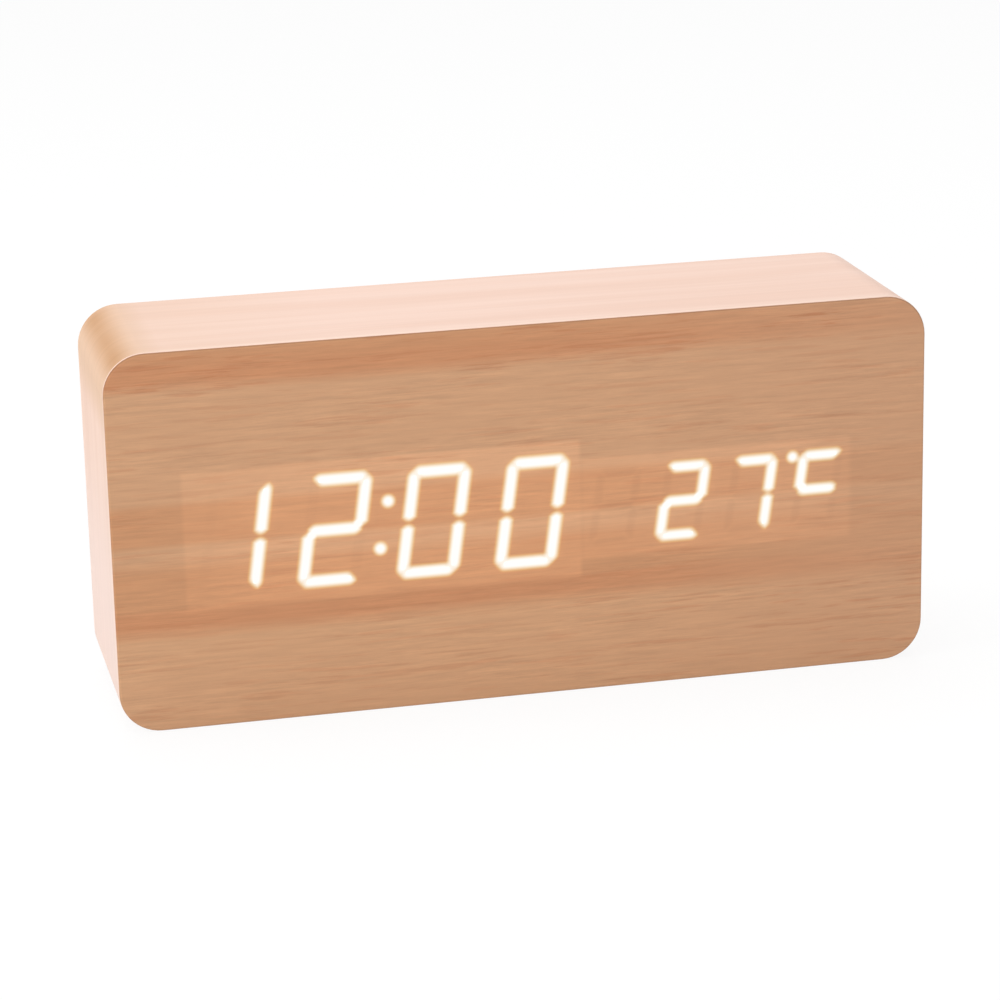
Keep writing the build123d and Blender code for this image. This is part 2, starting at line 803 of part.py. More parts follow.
def tail_slots():
    return [tail(-1, row_z[0], tail_gap), tail(1, row_z[-1], tail_gap)]


def battery_contacts():
    last = cell_count - 1
    plates = [contact(-1, [0], True), contact(nub_side(last) * -1, [last], True)]
    for row in range(last):
        plates.append(contact(-nub_side(row), [row, row + 1], False))
    return group(plates)


def biarc(p0, t0, p1, t1):
    """Two tangent arcs from one point and direction to another."""
    reach = p1 - p0
    both = t0 + t1
    a = 2 * (t0.dot(t1) - 1)
    b = -2 * reach.dot(both)
    c = reach.dot(reach)
    d = (-b - math.sqrt(b * b - 4 * a * c)) / (2 * a)
    d = d if d > 0 else (-b + math.sqrt(b * b - 4 * a * c)) / (2 * a)
    q0, q1 = p0 + t0 * d, p1 - t1 * d
    joint = (q0 + q1) * 0.5
    return [TangentArc(p0, joint, tangent=t0), TangentArc(joint, p1, tangent=(q1 - q0).normalized())]


def spring_point(base, side, z, turn):
    """Point and direction of the conical coil after some turns."""
    share = turn / spring_turns
    radius = spring_base + (spring_top - spring_base) * share
    shrink = (spring_top - spring_base) / spring_turns
    climb = (spring_length - 2 * spring_wire) / spring_turns
    angle = 2 * math.pi * turn
    cos, sin = math.cos(angle), math.sin(angle)
    point = Vector(base - side * (spring_wire + climb * turn), cell_y + radius * cos, z + radius * sin)
    spin = 2 * math.pi * radius
    return point, Vector(-side * climb, shrink * cos - spin * sin, shrink * sin + spin * cos).normalized()


def battery_spring(row):
    """Conical coil between a contact and the flat end of its cell."""
    side = -nub_side(row)
    base = bay_left + skin if side < 0 else bay_right - skin
    stops = [spring_point(base, side, row_z[row], i / 4) for i in range(4 * spring_turns + 1)]
    arcs = []
    for (p0, t0), (p1, t1) in zip(stops, stops[1:]):
        arcs += biarc(p0, t0, p1, t1)
    start, direction = stops[0]
    return sweep(Plane(start, z_dir=direction) * Circle(spring_wire), path=Wire(arcs))


def spring_self_gap():
    """Least clear gap between neighbouring turns, measured on points."""
    steps = 48
    points = [spring_point(0, 1, 0, i / steps)[0] for i in range(steps * spring_turns + 1)]
    half = steps // 2
    apart = [(p - q).length for i, p in enumerate(points) for q in points[i + half:]]
    return min(apart) - 2 * spring_wire


def battery_wire(side, z):
    """Insulated wire from a solder tail to its pad on the control board."""
    start = tail_end(side)
    turn = start + side * wire_run
    pad = control_x + control_board_size[0] / 2 - wire_pad_inset
    low = tray_back - wire_drop
    points = [(start, tail_y, z), (turn, tail_y, z), (turn, low, z), (pad, low, z), (pad, control_front, z)]
    section = Plane((start, tail_y, z), z_dir=(side, 0, 0)) * Circle(wire_radius)
    return sweep(section, path=FilletPolyline(*points, radius=wire_bend))


rows = range(cell_count)
pieces = {
    "front_film": front_film(),
    "front_board": front_board(),
    "case_ring": case_ring(),
    "time_display_case": display_case(TIME, time_x, display_z),
    "time_segments_lit": segments(TIME, time_x, display_z, True),
    "time_segments_unlit": segments(TIME, time_x, display_z, False),
    "temp_display_case": display_case(TEMP, temp_x, temp_z),
    "temp_segments_lit": segments(TEMP, temp_x, temp_z, True),
    "temp_segments_unlit": segments(TEMP, temp_x, temp_z, False),
    "led_chips": led_chips(),
    "display_board": display_board(),
    "display_board_screws": group(screw(x, z, small_screw, display_back, 1)
                                  for x, z in display_screw_places()),
    "controller_chip": on_display((controller_x, controller_rise), controller_size),
    "segment_resistors": segment_resistors(),
    "clock_crystal": clock_crystal(),
    "filter_capacitor": filter_capacitor(),
    "display_connector": connector(ribbon_top, display_back, ribbon_from),
    "ribbon_cable": ribbon_cable(),
    "control_connector": connector(ribbon_bottom, ribbon_to, control_front),
    "control_board": control_board(),
    "control_board_screws": group(screw(x, z, small_screw, control_front, -1) for x, z in boss_places()),
    "tact_switch_bodies": tact_switch_bodies(),
    "sound_switch_body": sound_switch_body(),
    "sound_switch_knob": sound_switch_knob(),
    "power_jack_body": power_jack_body(),
    "power_jack_pin": power_jack_pin(),
    "microphone": microphone(),
    "buzzer": buzzer(),
    "temperature_sensor": temperature_sensor(),
    "rear_plate": rear_plate(),
    "rear_plate_screws": group(screw(x, z, plate_screw, plate_out - counterbore_depth, 1)
                               for x, z in around(0, middle, post_x, post_z)),
    "battery_tray": battery_tray(),
    "battery_door": battery_door(),
    "battery_cells": group(battery_cell(row) for row in rows),
    "battery_contacts": battery_contacts(),
    "battery_springs": group(battery_spring(row) for row in rows),
    "battery_wire_red": battery_wire(-1, row_z[0]),
    "battery_wire_black": battery_wire(1, row_z[-1]),
}
for name, x in zip(("down", "set", "up"), button_x):
    pieces[name + "_button"] = button(x)
    pieces[name + "_plunger"] = plunger(x)

os.makedirs("parts", exist_ok=True)
for name, piece in pieces.items():
    export_step(piece, f"parts/{name}.step")

print(f"block {case_width:.2f} x {case_depth:.2f} x {case_height:.2f} mm, {len(pieces)} nodes")
print(f"least gap between spring turns {spring_self_gap():.2f} mm")
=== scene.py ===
# %% [markdown]
# # A wood-look desk clock
# The real clock is a block of fibreboard in printed wood film. Its digits sit behind the front sheet
# and shine through it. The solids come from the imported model, already in place and in metres, so this
# lesson is about how things look: light, materials and the few pieces that only exist as light or print.

# %% Load the frame
import math

import bmesh
import bpy
from mathutils import Matrix, Vector


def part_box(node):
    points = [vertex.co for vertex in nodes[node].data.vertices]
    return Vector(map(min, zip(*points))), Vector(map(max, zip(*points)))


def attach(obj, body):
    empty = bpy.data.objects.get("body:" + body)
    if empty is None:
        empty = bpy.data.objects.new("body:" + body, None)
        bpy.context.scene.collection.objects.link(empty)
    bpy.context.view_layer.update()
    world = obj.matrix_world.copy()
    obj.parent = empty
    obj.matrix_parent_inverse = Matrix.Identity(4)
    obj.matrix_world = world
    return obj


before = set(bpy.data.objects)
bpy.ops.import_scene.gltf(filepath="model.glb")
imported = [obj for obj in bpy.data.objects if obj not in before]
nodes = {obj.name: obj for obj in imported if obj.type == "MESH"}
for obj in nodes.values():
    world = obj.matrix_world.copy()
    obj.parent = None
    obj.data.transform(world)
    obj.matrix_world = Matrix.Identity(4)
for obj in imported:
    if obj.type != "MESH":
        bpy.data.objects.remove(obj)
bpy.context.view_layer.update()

MM = 1000           # millimetres in a metre


def box_mm(node):
    """The lowest and the highest corner of a solid, in millimetres."""
    return [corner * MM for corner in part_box(node)]


# %% [markdown]
# A material in Blender is a graph of nodes. They could be wired by hand in the shader editor, but some
# finishes here need hundreds of them, and a formula is easier to read than a picture of its wires. So a
# small class wraps one output socket: adding or multiplying two wrapped sockets adds the Math node for
# it.

# %% Shader arithmetic
class Flow:
    """A value on its way through a node graph. Arithmetic on it adds Math nodes."""

    def __init__(self, graph, socket):
        self.graph = graph
        self.socket = socket

    def __add__(self, other):
        return self.graph.math("ADD", self, other)

    def __radd__(self, other):
        return self.graph.math("ADD", other, self)

    def __sub__(self, other):
        return self.graph.math("SUBTRACT", self, other)

    def __rsub__(self, other):
        return self.graph.math("SUBTRACT", other, self)

    def __mul__(self, other):
        return self.graph.math("MULTIPLY", self, other)

    def __rmul__(self, other):
        return self.graph.math("MULTIPLY", other, self)

    def __truediv__(self, other):
        return self.graph.math("DIVIDE", self, other)

    def __rtruediv__(self, other):
        return self.graph.math("DIVIDE", other, self)

    def __mod__(self, other):
        return self.graph.math("FLOORED_MODULO", self, other)

    def __rmod__(self, other):
        return self.graph.math("FLOORED_MODULO", other, self)

    def __pow__(self, other):
        return self.graph.math("POWER", self, other)

    def __rpow__(self, other):
        return self.graph.math("POWER", other, self)

    def __neg__(self):
        return self.graph.math("MULTIPLY", self, -1)

    def __abs__(self):
        return self.graph.math("ABSOLUTE", self)

    def __floor__(self):
        return self.graph.math("FLOOR", self)

    def matches(self, number):
        """1 where a whole number is the given one, and else 0."""
        return self.graph.math("COMPARE", self, number, 0.5)

    def least(self, other):
        return self.graph.math("MINIMUM", self, other)

    def most(self, other):
        return self.graph.math("MAXIMUM", self, other)

    def round_most(self, other, width):
        """The larger of two values, with the change from one to the other rounded off."""
        return self.graph.math("SMOOTH_MAX", self, other, width)

    def step(self, start, end):
        """0 up to start, 1 from end on, with a soft step between. End may lie below start."""
        return self.graph.add("ShaderNodeMapRange", {"interpolation_type": "SMOOTHSTEP"},
                              {"Value": self, "From Min": start, "From Max": end})


print("values that can be added, multiplied and compared")

# %% [markdown]
# A second class holds the graph itself. One method adds any node, from its type, its settings and what
# goes into its sockets. Nodes that come up often, such as noise or a mix of two colours, get short names.
# Colours go through Mix and Vector Math nodes, because a Math node would turn them grey.

# %% Node graphs
class Graph:
    """A node graph and the one method that adds to it."""

    def __init__(self, tree):
        self.tree = tree

    def feed(self, node, sockets):
        """Set a node's sockets, or link those whose value comes from another node."""
        for key, value in sockets.items():
            if isinstance(value, Flow):
                self.tree.links.new(value.socket, node.inputs[key])
            else:
                node.inputs[key].default_value = value

    def add(self, kind, settings=None, sockets=None, out=0):
        """Add a node of a type, with its settings and sockets, and give one of its outputs."""
        node = self.tree.nodes.new(kind)
        for key, value in (settings or {}).items():
            if key == "stops":
                self.set_stops(node.color_ramp.elements, value)
            else:
                setattr(node, key, value)
        self.feed(node, sockets or {})
        return Flow(self, node.outputs[out])

    def set_stops(self, ramp, stops):
        """Put a colour ramp's stops in place. A new ramp already has its first and its last one."""
        for place, _ in stops[1:-1]:
            ramp.new(place)
        for stop, (place, colour) in zip(ramp, stops):
            stop.position = place
            stop.color = colour

    def math(self, operation, *values):
        return self.add("ShaderNodeMath", {"operation": operation}, dict(enumerate(values)))

    def vector_math(self, operation, sockets, out=0):
        return self.add("ShaderNodeVectorMath", {"operation": operation}, sockets, out)

    def vector(self, x, y, z):
        return self.add("ShaderNodeCombineXYZ", None, {0: x, 1: y, 2: z})

    def length(self, across, upward):
        """How long the way is that goes so far across and so far upward."""
        return self.vector_math("LENGTH", {0: self.vector(across, upward, 0)}, "Value")

    def noise(self, x, y, z, detail=2.0, roughness=0.5):
        """Cloudy values about 0.5, one lump for each whole number of x, y and z."""
        return self.add("ShaderNodeTexNoise", None, {
            "Vector": self.vector(x, y, z), "Scale": 1.0, "Detail": detail, "Roughness": roughness})

    def mix(self, first, second, share):
        """The first colour where the share is 0, the second where it is 1."""
        return self.add("ShaderNodeMix", {"data_type": "RGBA"}, {0: share, 6: first, 7: second}, 2)

    def shade(self, colour, factor):
        """A colour made lighter or darker by a number."""
        plain = colour if isinstance(colour, Flow) else colour[:3]
        return self.vector_math("SCALE", {0: plain, "Scale": factor})

    def plus(self, first, second):
        """Two colours of light added up."""
        return self.vector_math("ADD", {0: first, 1: second})


print("graphs that take any node")

# %% [markdown]
# A finish is a graph that ends in a Principled surface, Blender's all-round material. It could be painted
# as an image, but that needs a flat map of every solid. Here it is worked out at each point from Object
# coordinates instead, so it has its real scale in millimetres and stays on the solid when that moves.

# %% Colours and materials
def tone(red, green, blue):
    """A colour as a screen gives it, from 0 to 255, turned into the linear values that Blender mixes."""
    parts = [v / 255 for v in (red, green, blue)]
    linear = [p / 12.92 if p <= 0.04045 else ((p + 0.055) / 1.055) ** 2.4 for p in parts]
    return (*linear, 1.0)


class Finish(Graph):
    """A material: a graph that ends in one Principled surface."""

    def __init__(self, name, constants=None):
        self.material = bpy.data.materials.new(name)
        self.material.use_nodes = True
        super().__init__(self.material.node_tree)
        self.surface = self.tree.nodes["Principled BSDF"]
        self.set_surface(constants or {})

    def set_surface(self, sockets):
        self.feed(self.surface, sockets)

    def place(self):
        """Where a point is on the clock, as x, y and z in millimetres."""
        point = self.add("ShaderNodeTexCoord", out="Object")
        split = self.add("ShaderNodeSeparateXYZ", None, {0: point}).socket.node
        return [Flow(self, output) * MM for output in split.outputs]

    def bump(self, height, depth_mm, strength):
        """Small unevenness: height runs from 0 to 1 and stands for depth_mm."""
        normal = self.add("ShaderNodeBump", None, {
            "Height": height, "Strength": strength, "Distance": depth_mm / MM})
        self.set_surface({"Normal": normal})


def cover(finish, *covered):
    """Give solids of the frame their finish."""
    for name in covered:
        mesh = nodes[name].data
        mesh.materials.clear()
        mesh.materials.append(finish.material)
    print(finish.material.name, "of", len(finish.tree.nodes), "nodes on", ", ".join(covered))


print("half of 255 is", round(tone(128, 128, 128)[0], 3), "in linear values")

# %% [markdown]
# The camera stands where the photograph was taken from: a little to the left of the clock's middle,
# looking down at about 17 degrees, with a long lens so that the block hardly narrows towards the back. A
# constraint could aim it, but the photograph is also tilted by about a degree, so the camera's three axes
# are worked out here.

# %% Camera
AZIMUTH, ELEVATION, ROLL = -12.541, 16.6761, -1.3178    # degrees
MIDDLE = Vector((0, 0, 0.035))      # the clock's middle, in metres
DISTANCE = 0.643601                 # from there to the camera
LEFT, BELOW = 0.000525, 0.003379    # how far the camera stands beside that line
LENS = 125.239                      # millimetres
SENSOR = 36                         # millimetres
NEAREST = 0.01                      # metres, what is nearer to the camera doesn't show


def view_axes(azimuth, elevation, roll):
    """Right, up and backward directions of a camera, from angles in degrees."""
    a, e, r = (math.radians(v) for v in (azimuth, elevation, roll))
    back = Vector((math.sin(a) * math.cos(e), -math.cos(a) * math.cos(e), math.sin(e)))
    level = Vector((0, 0, 1)).cross(back).normalized()
    upright = back.cross(level)
    right = level * math.cos(r) + upright * math.sin(r)
    up = upright * math.cos(r) - level * math.sin(r)
    return right, up, back


right, up, back = view_axes(AZIMUTH, ELEVATION, ROLL)
spot = MIDDLE + back * DISTANCE - right * LEFT - up * BELOW
camera = bpy.data.objects.new("camera", bpy.data.cameras.new("camera"))
camera.data.lens = LENS
camera.data.sensor_width = SENSOR
camera.data.clip_start = NEAREST
camera.matrix_world = Matrix.Translation(spot) @ Matrix((right, up, back)).transposed().to_4x4()
bpy.context.scene.collection.objects.link(camera)
bpy.context.scene.camera = camera
bpy.context.scene.view_settings.view_transform = "Standard"
print("camera at", [round(v, 3) for v in spot])

# %% [markdown]
# The clock stands on white. Paper that is lit until it looks white would throw that light back at the
# clock and wash it out. So the floor and the world look white only to rays that show them, from the
# camera, a mirror or glass. The light that they throw on the clock stays at a plain level, and the shadow
# stays too.

# %% Floor and world
WHITE = (1, 1, 1, 1)
WORLD_LIGHT = 0.45          # what the world throws on the clock, where 1 looks white
PAPER_LIGHT = 1.03          # how bright the floor looks
PAPER_SHARE = 0.86          # how much of its look is that light, and not the lit paper with its shadow
FLOOR_SIZE = 6              # metres


def seen(graph):
    """1 for rays that show the background itself: from the camera, a mirror or glass."""
    path = graph.add("ShaderNodeLightPath").socket.node
    kinds = ("Camera", "Glossy", "Transmission")
    looking, mirrored, through_glass = (Flow(graph, path.outputs[f"Is {kind} Ray"]) for kind in kinds)
    return looking.most(mirrored).most(through_glass)


world = bpy.data.worlds.new("studio")
world.use_nodes = True
bpy.context.scene.world = world
sky = Graph(world.node_tree)
brightness = seen(sky) * (1 - WORLD_LIGHT) + WORLD_LIGHT
sky.feed(world.node_tree.nodes["Background"], {"Color": WHITE, "Strength": brightness})

bpy.ops.mesh.primitive_plane_add(size=FLOOR_SIZE)
floor = bpy.context.object
floor.name = "floor"
paper = Finish("floor_paper", {"Base Color": tone(238, 238, 238), "Roughness": 0.9})
glow = paper.add("ShaderNodeEmission", None, {"Color": WHITE, "Strength": PAPER_LIGHT})
lit_paper = paper.add("ShaderNodeMixShader", None, {
    0: seen(paper) * PAPER_SHARE, 1: Flow(paper, paper.surface.outputs[0]), 2: glow})
paper.feed(paper.tree.nodes["Material Output"], {"Surface": lit_paper})
floor.data.materials.append(paper.material)
print("floor and world")

# %% [markdown]
# The light is soft and comes mostly from above and from the left: the top and the left side are far paler
# than the front. A sun or a point lamp would draw hard shadows, so three large area lamps light the
# clock.

# %% Lamps
def lamp(name, stand, size, watts):
    """A square lamp that points at the middle of the clock. Place and size are in metres."""
    light = bpy.data.lights.new(name, "AREA")
    light.size = size
    light.energy = watts
    holder = bpy.data.objects.new(name, light)
    holder.location = stand
    holder.rotation_euler = (Vector(stand) - MIDDLE).to_track_quat("Z", "Y").to_euler()
    bpy.context.scene.collection.objects.link(holder)
    print(name, watts, "watts at", stand)


lamp("lamp_above", (-0.1, 0.15, 0.9), 0.9, 5.15)
lamp("lamp_left", (-0.9, -0.1, 0.35), 0.7, 3.45)
lamp("lamp_front", (0.2, -1.1, 0.15), 0.8, 4.5)

# %% [markdown]
# The face is printed with straight wood grain: broad tan and orange bands, and on them fine streaks about
# a centimetre long and under a millimetre thick. A wave texture could draw the lines, but they would all
# be alike. Noise that is stretched along the grain gives uneven streaks, and a colour ramp gives the
# bands.

# %% Wood grain
FILM_LOW, FILM_HIGH = box_mm("front_film")
FACE_HEIGHT = FILM_HIGH.z
TAN = tone(204, 156, 118)
PALE = tone(206, 158, 119)
ORANGE = tone(200, 145, 104)
RUSSET = tone(199, 139, 98)
# Heights on the face in millimetres, from the bottom up, and the tone of the print there
GRAIN_BANDS = [(0, TAN), (16.7, PALE), (19.5, RUSSET), (21.5, RUSSET), (22.9, ORANGE), (29.2, ORANGE),
               (32.0, TAN), (33.7, TAN), (34.8, ORANGE), (41.0, ORANGE), (42.4, TAN), (61.9, TAN),
               (64.3, RUSSET), (66.0, RUSSET), (FACE_HEIGHT, ORANGE)]
# Lumps of noise for each millimetre along and across the grain
WANDER = (0.025, 0.09)
LIVELY = (0.03, 0.15)
DASH = (0.075, 1.3)
VEIN = (0.06, 1.1)
WANDER_DEPTH = 0.9          # millimetres by which a streak leaves its straight line
GRAIN_CONTRAST = 0.52


def grain_noise(finish, along, across, lumps, layer, detail, roughness=0.5):
    """Noise that is stretched along the grain. Each layer has lumps in other places."""
    return finish.noise(along * lumps[0], across * lumps[1], layer, detail, roughness)


def streaks(finish, along, across):
    """Brightness of the grain lines, about 1, and how much each point belongs to a darker vein."""
    line = across + (grain_noise(finish, along, across, WANDER, 5.2, 1.0) - 0.5) * WANDER_DEPTH
    lively = grain_noise(finish, along, across, LIVELY, 9.1, 1.0).step(0.3, 0.7) * 0.7 + 0.65
    dash = grain_noise(finish, along, line, DASH, 0.0, 5.0, 0.75)
    vein = grain_noise(finish, along, line, VEIN, 7.3, 4.0, 0.65)
    return (dash - 0.5) * lively * GRAIN_CONTRAST + 1, vein.step(0.53, 0.64) * lively


print("grain bands:", len(GRAIN_BANDS))

# %% [markdown]
# First comes the print of the face alone. The bands sway a little along the face, fade to a duller tan on
# the right, and carry reddish veins that are strongest near the top and low on the right. All of these
# could be painted by hand. As masks over the same print, each can be changed by one number.

# %% Print on the face
# A duller, darker tan that the print fades to towards the right
DULL_TAN = tone(197, 149, 114)
VEIN_TONE = tone(184, 116, 76)
SWAY_DEPTH = 1.8            # millimetres by which the bands leave their straight line

face = Finish("wood_face", {"Roughness": 0.45, "Specular IOR Level": 0.3, "Emission Strength": 1.0})
x, y, z = face.place()
sway = (face.noise(x * 0.012, z * 0.05, 3.1, 1.0) - 0.5) * SWAY_DEPTH
stops = [(height / FACE_HEIGHT, colour) for height, colour in GRAIN_BANDS]
bands = face.add("ShaderNodeValToRGB", {"stops": stops}, {0: (z + sway) / FACE_HEIGHT})
to_the_right = x.step(0, 85)
dulled = face.mix(bands, DULL_TAN, to_the_right * 0.7)
grain, vein = streaks(face, x, z)
low_right = x.step(10, 60) * z.step(24, 12)
near_top = z.step(60, 64)
reddish = vein * (0.2 + low_right * 0.2 + near_top * 0.25)
wood = face.shade(face.mix(dulled, VEIN_TONE, reddish), grain)
print("face print:", len(face.tree.nodes), "nodes")

# %% [markdown]
# Behind the face sit two display modules, a row of digits each. A digit is seven bars: a, g and d lie
# across it at the top, the middle and the bottom, f and e stand in its left column, b and c in its right
# one. A font could draw the digits, but not the bars that are off. So the layout is written down here
# once, for the light in the film and for the bars of light further below.

# %% Display layout
SHIFT = Vector((-0.14, 0, 0.2))     # from the solid modules to where they show on the film
LEAN = math.tan(math.radians(8.5))
BARS = {"a": 1, "g": 0, "d": -1}
COLUMNS = {"f": (-1, 1), "b": (1, 1), "e": (-1, -1), "c": (1, -1)}


class Module:
    """A row of slanted seven-bar digits, in millimetres on the face.

    The pitch is from digit to digit, the width between a digit's columns, the rise from its middle bar to
    its top one, the stroke is a bar's width, and the gap is from the middle to where a column ends."""

    def __init__(self, node, shown, pitch, width, rise, stroke, gap):
        low, high = box_mm(node)
        self.low = low + SHIFT
        self.high = high + SHIFT
        self.x = (self.low.x + self.high.x) / 2
        self.z = (self.low.z + self.high.z) / 2
        self.shown = shown
        self.pitch = pitch
        self.width = width
        self.rise = rise
        self.stroke = stroke
        self.gap = gap
        self.half = pitch * len(shown) / 2

    def off(self, letter):
        """The digits in which a bar isn't lit."""
        return [i for i, lit in enumerate(self.shown) if letter not in lit]


time_module = Module("time_display_case", ("bc", "abged", "abcdef", "abcdef"),
                     pitch=18.0, width=9.28, rise=9.3, stroke=2.1, gap=0.5)
temp_module = Module("temp_display_case", ("", "abged", "abc", "afg"),
                     pitch=12.7, width=6.8, rise=6.4, stroke=1.85, gap=0.3)
# Across, up and radius of the two dots of the time, and of the raised one
DOTS = [(-25.36, 39.14, 1.05), (-27.03, 30.45, 1.05), (49.81, 40.89, 0.95)]
print("modules at", round(time_module.x, 2), round(temp_module.x, 2))

# %% [markdown]
# Light spreads a little in the film over a bar, so a lit bar is white with a soft edge. A blurred picture
# could show that. Here the distance from each point to the edge of a bar does it: a soft step on that
# distance is the light. A bar is a band that is cut at its ends, and the largest of its distances counts.

# %% Distance to the bars
JOINT = 0.09        # half the seam between two bars that meet at a corner
CUT = 0.38          # from the middle of such a corner to its outer cut, in half widths of a bar
POINT = 0.4         # half width of the flat tip where a column ends at the middle
TIP = 0.1           # how far a bar may reach past the middle of a corner
ROUND = 0.7         # how far the ends of a bar are rounded off
DIAGONAL = math.sqrt(0.5)


def middle_bar_distance(module, u, v):
    """From a point of a digit to the edge of its middle bar, below zero inside it."""
    half = module.width / 2
    along = abs(u)
    aside = abs(v)
    slope = (along + aside - half - POINT) * DIAGONAL
    return (aside - module.stroke / 2).round_most(slope, ROUND).most(along - half)


def outer_bar_distance(module, letter, u, v):
    """The same for a bar at the top, at the bottom or in a column."""
    radius = module.stroke / 2
    half = module.width / 2
    if letter in BARS:
        along = abs(u) - half
        outward = v * BARS[letter] - module.rise
        edge = abs(outward) - radius
    else:
        side, level = COLUMNS[letter]
        along = v * level - module.rise
        outward = u * side - half
        from_middle = v * level - module.gap
        slope = (abs(outward) - from_middle - POINT) * DIAGONAL
        edge = (abs(outward) - radius).most((-from_middle).round_most(slope, ROUND))
    mitre = (along - outward) * DIAGONAL + JOINT
    corner = ((along + outward) * DIAGONAL - CUT * radius).most(along - TIP)
    return edge.round_most(mitre.round_most(corner, ROUND), ROUND)


print("bars of a digit:", len(BARS) + len(COLUMNS))

# %% [markdown]
# All digits of a module share one set of bars: the place on the face is folded into one digit with a
# modulo, and a bar that is off in a digit is pushed far away there. That takes about a quarter of the
# nodes that separate bars for each of the four digits would need.

# %% Light of a module
FAR = 50            # millimetres, well out of reach of any light
SOFT_EDGE = (0.68, -0.60)   # from outside the edge of a bar, where its light starts, to full light inside
ROW_END = 0.1       # half the step at the ends of a row of digits


def module_light(module, x, z):
    """Distance to the nearest lit bar and to the nearest bar of any kind, and the light of all bars."""
    v = z - module.z
    u = x - module.x - v * LEAN + module.half
    digit = math.floor(u / module.pitch)
    in_digit = u % module.pitch - module.pitch / 2
    outside = abs(u - module.half).step(module.half - ROW_END, module.half + ROW_END) * FAR
    lit = outside + FAR
    any_bar = outside + FAR
    light = 0
    for letter in "abcdefg":
        if letter == "g":
            near = middle_bar_distance(module, in_digit, v)
        else:
            near = outer_bar_distance(module, letter, in_digit, v)
        any_bar = any_bar.least(near + outside)
        for index in module.off(letter):
            near = near + digit.matches(index) * FAR
        near = near + outside
        lit = lit.least(near)
        light = near.step(*SOFT_EDGE) + light
    return lit, any_bar, light


time_lit, time_any, time_light = module_light(time_module, x, z)
temp_lit, temp_any, temp_light = module_light(temp_module, x, z)
lit = time_lit.least(temp_lit)
light = time_light + temp_light
for dot_x, dot_z, radius in DOTS:
    near = face.length(x - dot_x, z - dot_z) - radius
    lit = lit.least(near)
    light = light + near.step(*SOFT_EDGE)
print("print and light:", len(face.tree.nodes), "nodes")

# %% [markdown]
# The modules show through the film even where no bar is lit: it is a little paler and warmer over them,
# more so towards the middle of the face, and bars that are off are faint shadows. A see-through film over
# the modules would show them too dark, so they are tints on the print.

# %% Modules behind the film
PALER_TIME, PALER_TEMP = 0.10, 0.08     # how much brighter the film is over the modules
GHOST_TIME, GHOST_TEMP = 0.03, 0.06     # how much darker it is over bars that are off
STRAY = (0.042, 0.015, 0.007)           # light that the whole module lets through


def inside(module, x, z, soft):
    """1 over a module's rectangle, 0 outside it."""
    across = (x - module.low.x).step(-soft, soft) * (module.high.x - x).step(-soft, soft)
    return across * (z - module.low.z).step(-soft, soft) * (module.high.z - z).step(-soft, soft)


time_fade = (x - time_module.low.x).step(0, 15) * 0.45 + 0.55
temp_fade = (temp_module.high.x - x).step(0, 12) * 0.4 + 0.6
over_time = inside(time_module, x, z, 0.6) * time_fade
over_temp = inside(temp_module, x, z, 0.8) * temp_fade
time_ghost = time_any.step(0.3, -0.5) * over_time * GHOST_TIME
temp_ghost = temp_any.step(0.3, -0.7) * over_temp * GHOST_TEMP
paler = 1 + over_time * PALER_TIME + over_temp * PALER_TEMP
tinted = face.shade(wood, paler - (time_ghost + temp_ghost))
stray = face.shade(STRAY, over_time + over_temp)
for module in (time_module, temp_module):
    print("module", [round(v, 1) for v in module.high - module.low], "mm")

# %% [markdown]
# Now the print and the light are joined. A glowing sheet behind a thin printed one would be nearer to the
# real build, but it needs many more samples to come out clean. One surface that reflects the print and
# gives off the light looks much the same. Red spreads furthest in the film and blue least, so white edges
# turn warm.

# %% Face finish
FILM_FRONT = FILM_LOW.y
# The side film's tone, painted paler than the front to stand for the stronger light and sheen on the top
# and sides; the film's cut edge takes it too
PALE_LIT_WRAP = tone(239, 209, 194)
RED_SPREAD, BLUE_SPREAD = 0.88, 1.45    # powers of the light, below 1 for a wider edge
FULL_LIGHT = (0.96, 0.96, 0.93)
BLUSH = (0.016, 0.006, 0.002)           # glow round a lit bar

core = light.least(1)
white = face.vector(core ** RED_SPREAD * FULL_LIGHT[0], core * FULL_LIGHT[1],
                    core ** BLUE_SPREAD * FULL_LIGHT[2])
blush = face.shade(BLUSH, lit.step(2.0, 0.2) * (1 - core))
behind = y - FILM_FRONT
# The rounded front edge of the film is darkened, three times as much along the top: painted shade
upper_edge_shade = z.step(60, 68)
edge_shade = behind.step(0.02, 0.08) * (0.10 + upper_edge_shade * 0.2)
cut_edge = behind.step(0.2, 0.3)
face.set_surface({
    "Base Color": face.mix(face.shade(tinted, 1 - core.most(edge_shade)), PALE_LIT_WRAP, cut_edge),
    "Emission Color": face.plus(white, face.plus(blush, stray)),
})
face.bump(grain, 0.03, 0.25)
cover(face, "front_film")

# %% [markdown]
# The sides are wrapped in the same kind of film. Here it is painted paler than the front, to stand for the
# stronger light and sheen that fall on the top and the sides. Its grain runs round the block, so the
# streaks
# follow the edges: they change quickly across the depth, and slowly along the width and the height. On the
# edge at the back the depth doesn't change, and there the distance to the outer edge takes its place. A UV
# map could unroll the film, but this needs none.

# %% Grain round the sides
CORNER = 7.5        # radius of the block's corners

wrap = Finish("wood_wrap", {"Roughness": 0.55, "Specular IOR Level": 0.2})
x, y, z = wrap.place()
low, high = box_mm("case_ring")
past_x = abs(x) - (high.x - CORNER)
past_z = abs(z - high.z / 2) - (high.z / 2 - CORNER)
beyond = wrap.length(past_x.most(0), past_z.most(0))
inset = CORNER - beyond - past_x.most(past_z).least(0)
round_edge = y + inset
sway = (wrap.noise(x * 0.015, round_edge * 0.06, z * 0.015, 1.0) - 0.5) * 2
lines = wrap.noise(x * 0.025, round_edge * 1.5 + sway, z * 0.025, 4.0, 0.6)
cloud = wrap.noise(x * 0.01, round_edge * 0.25, z * 0.01, 2.0)
print("grain round the sides:", len(wrap.tree.nodes), "nodes")
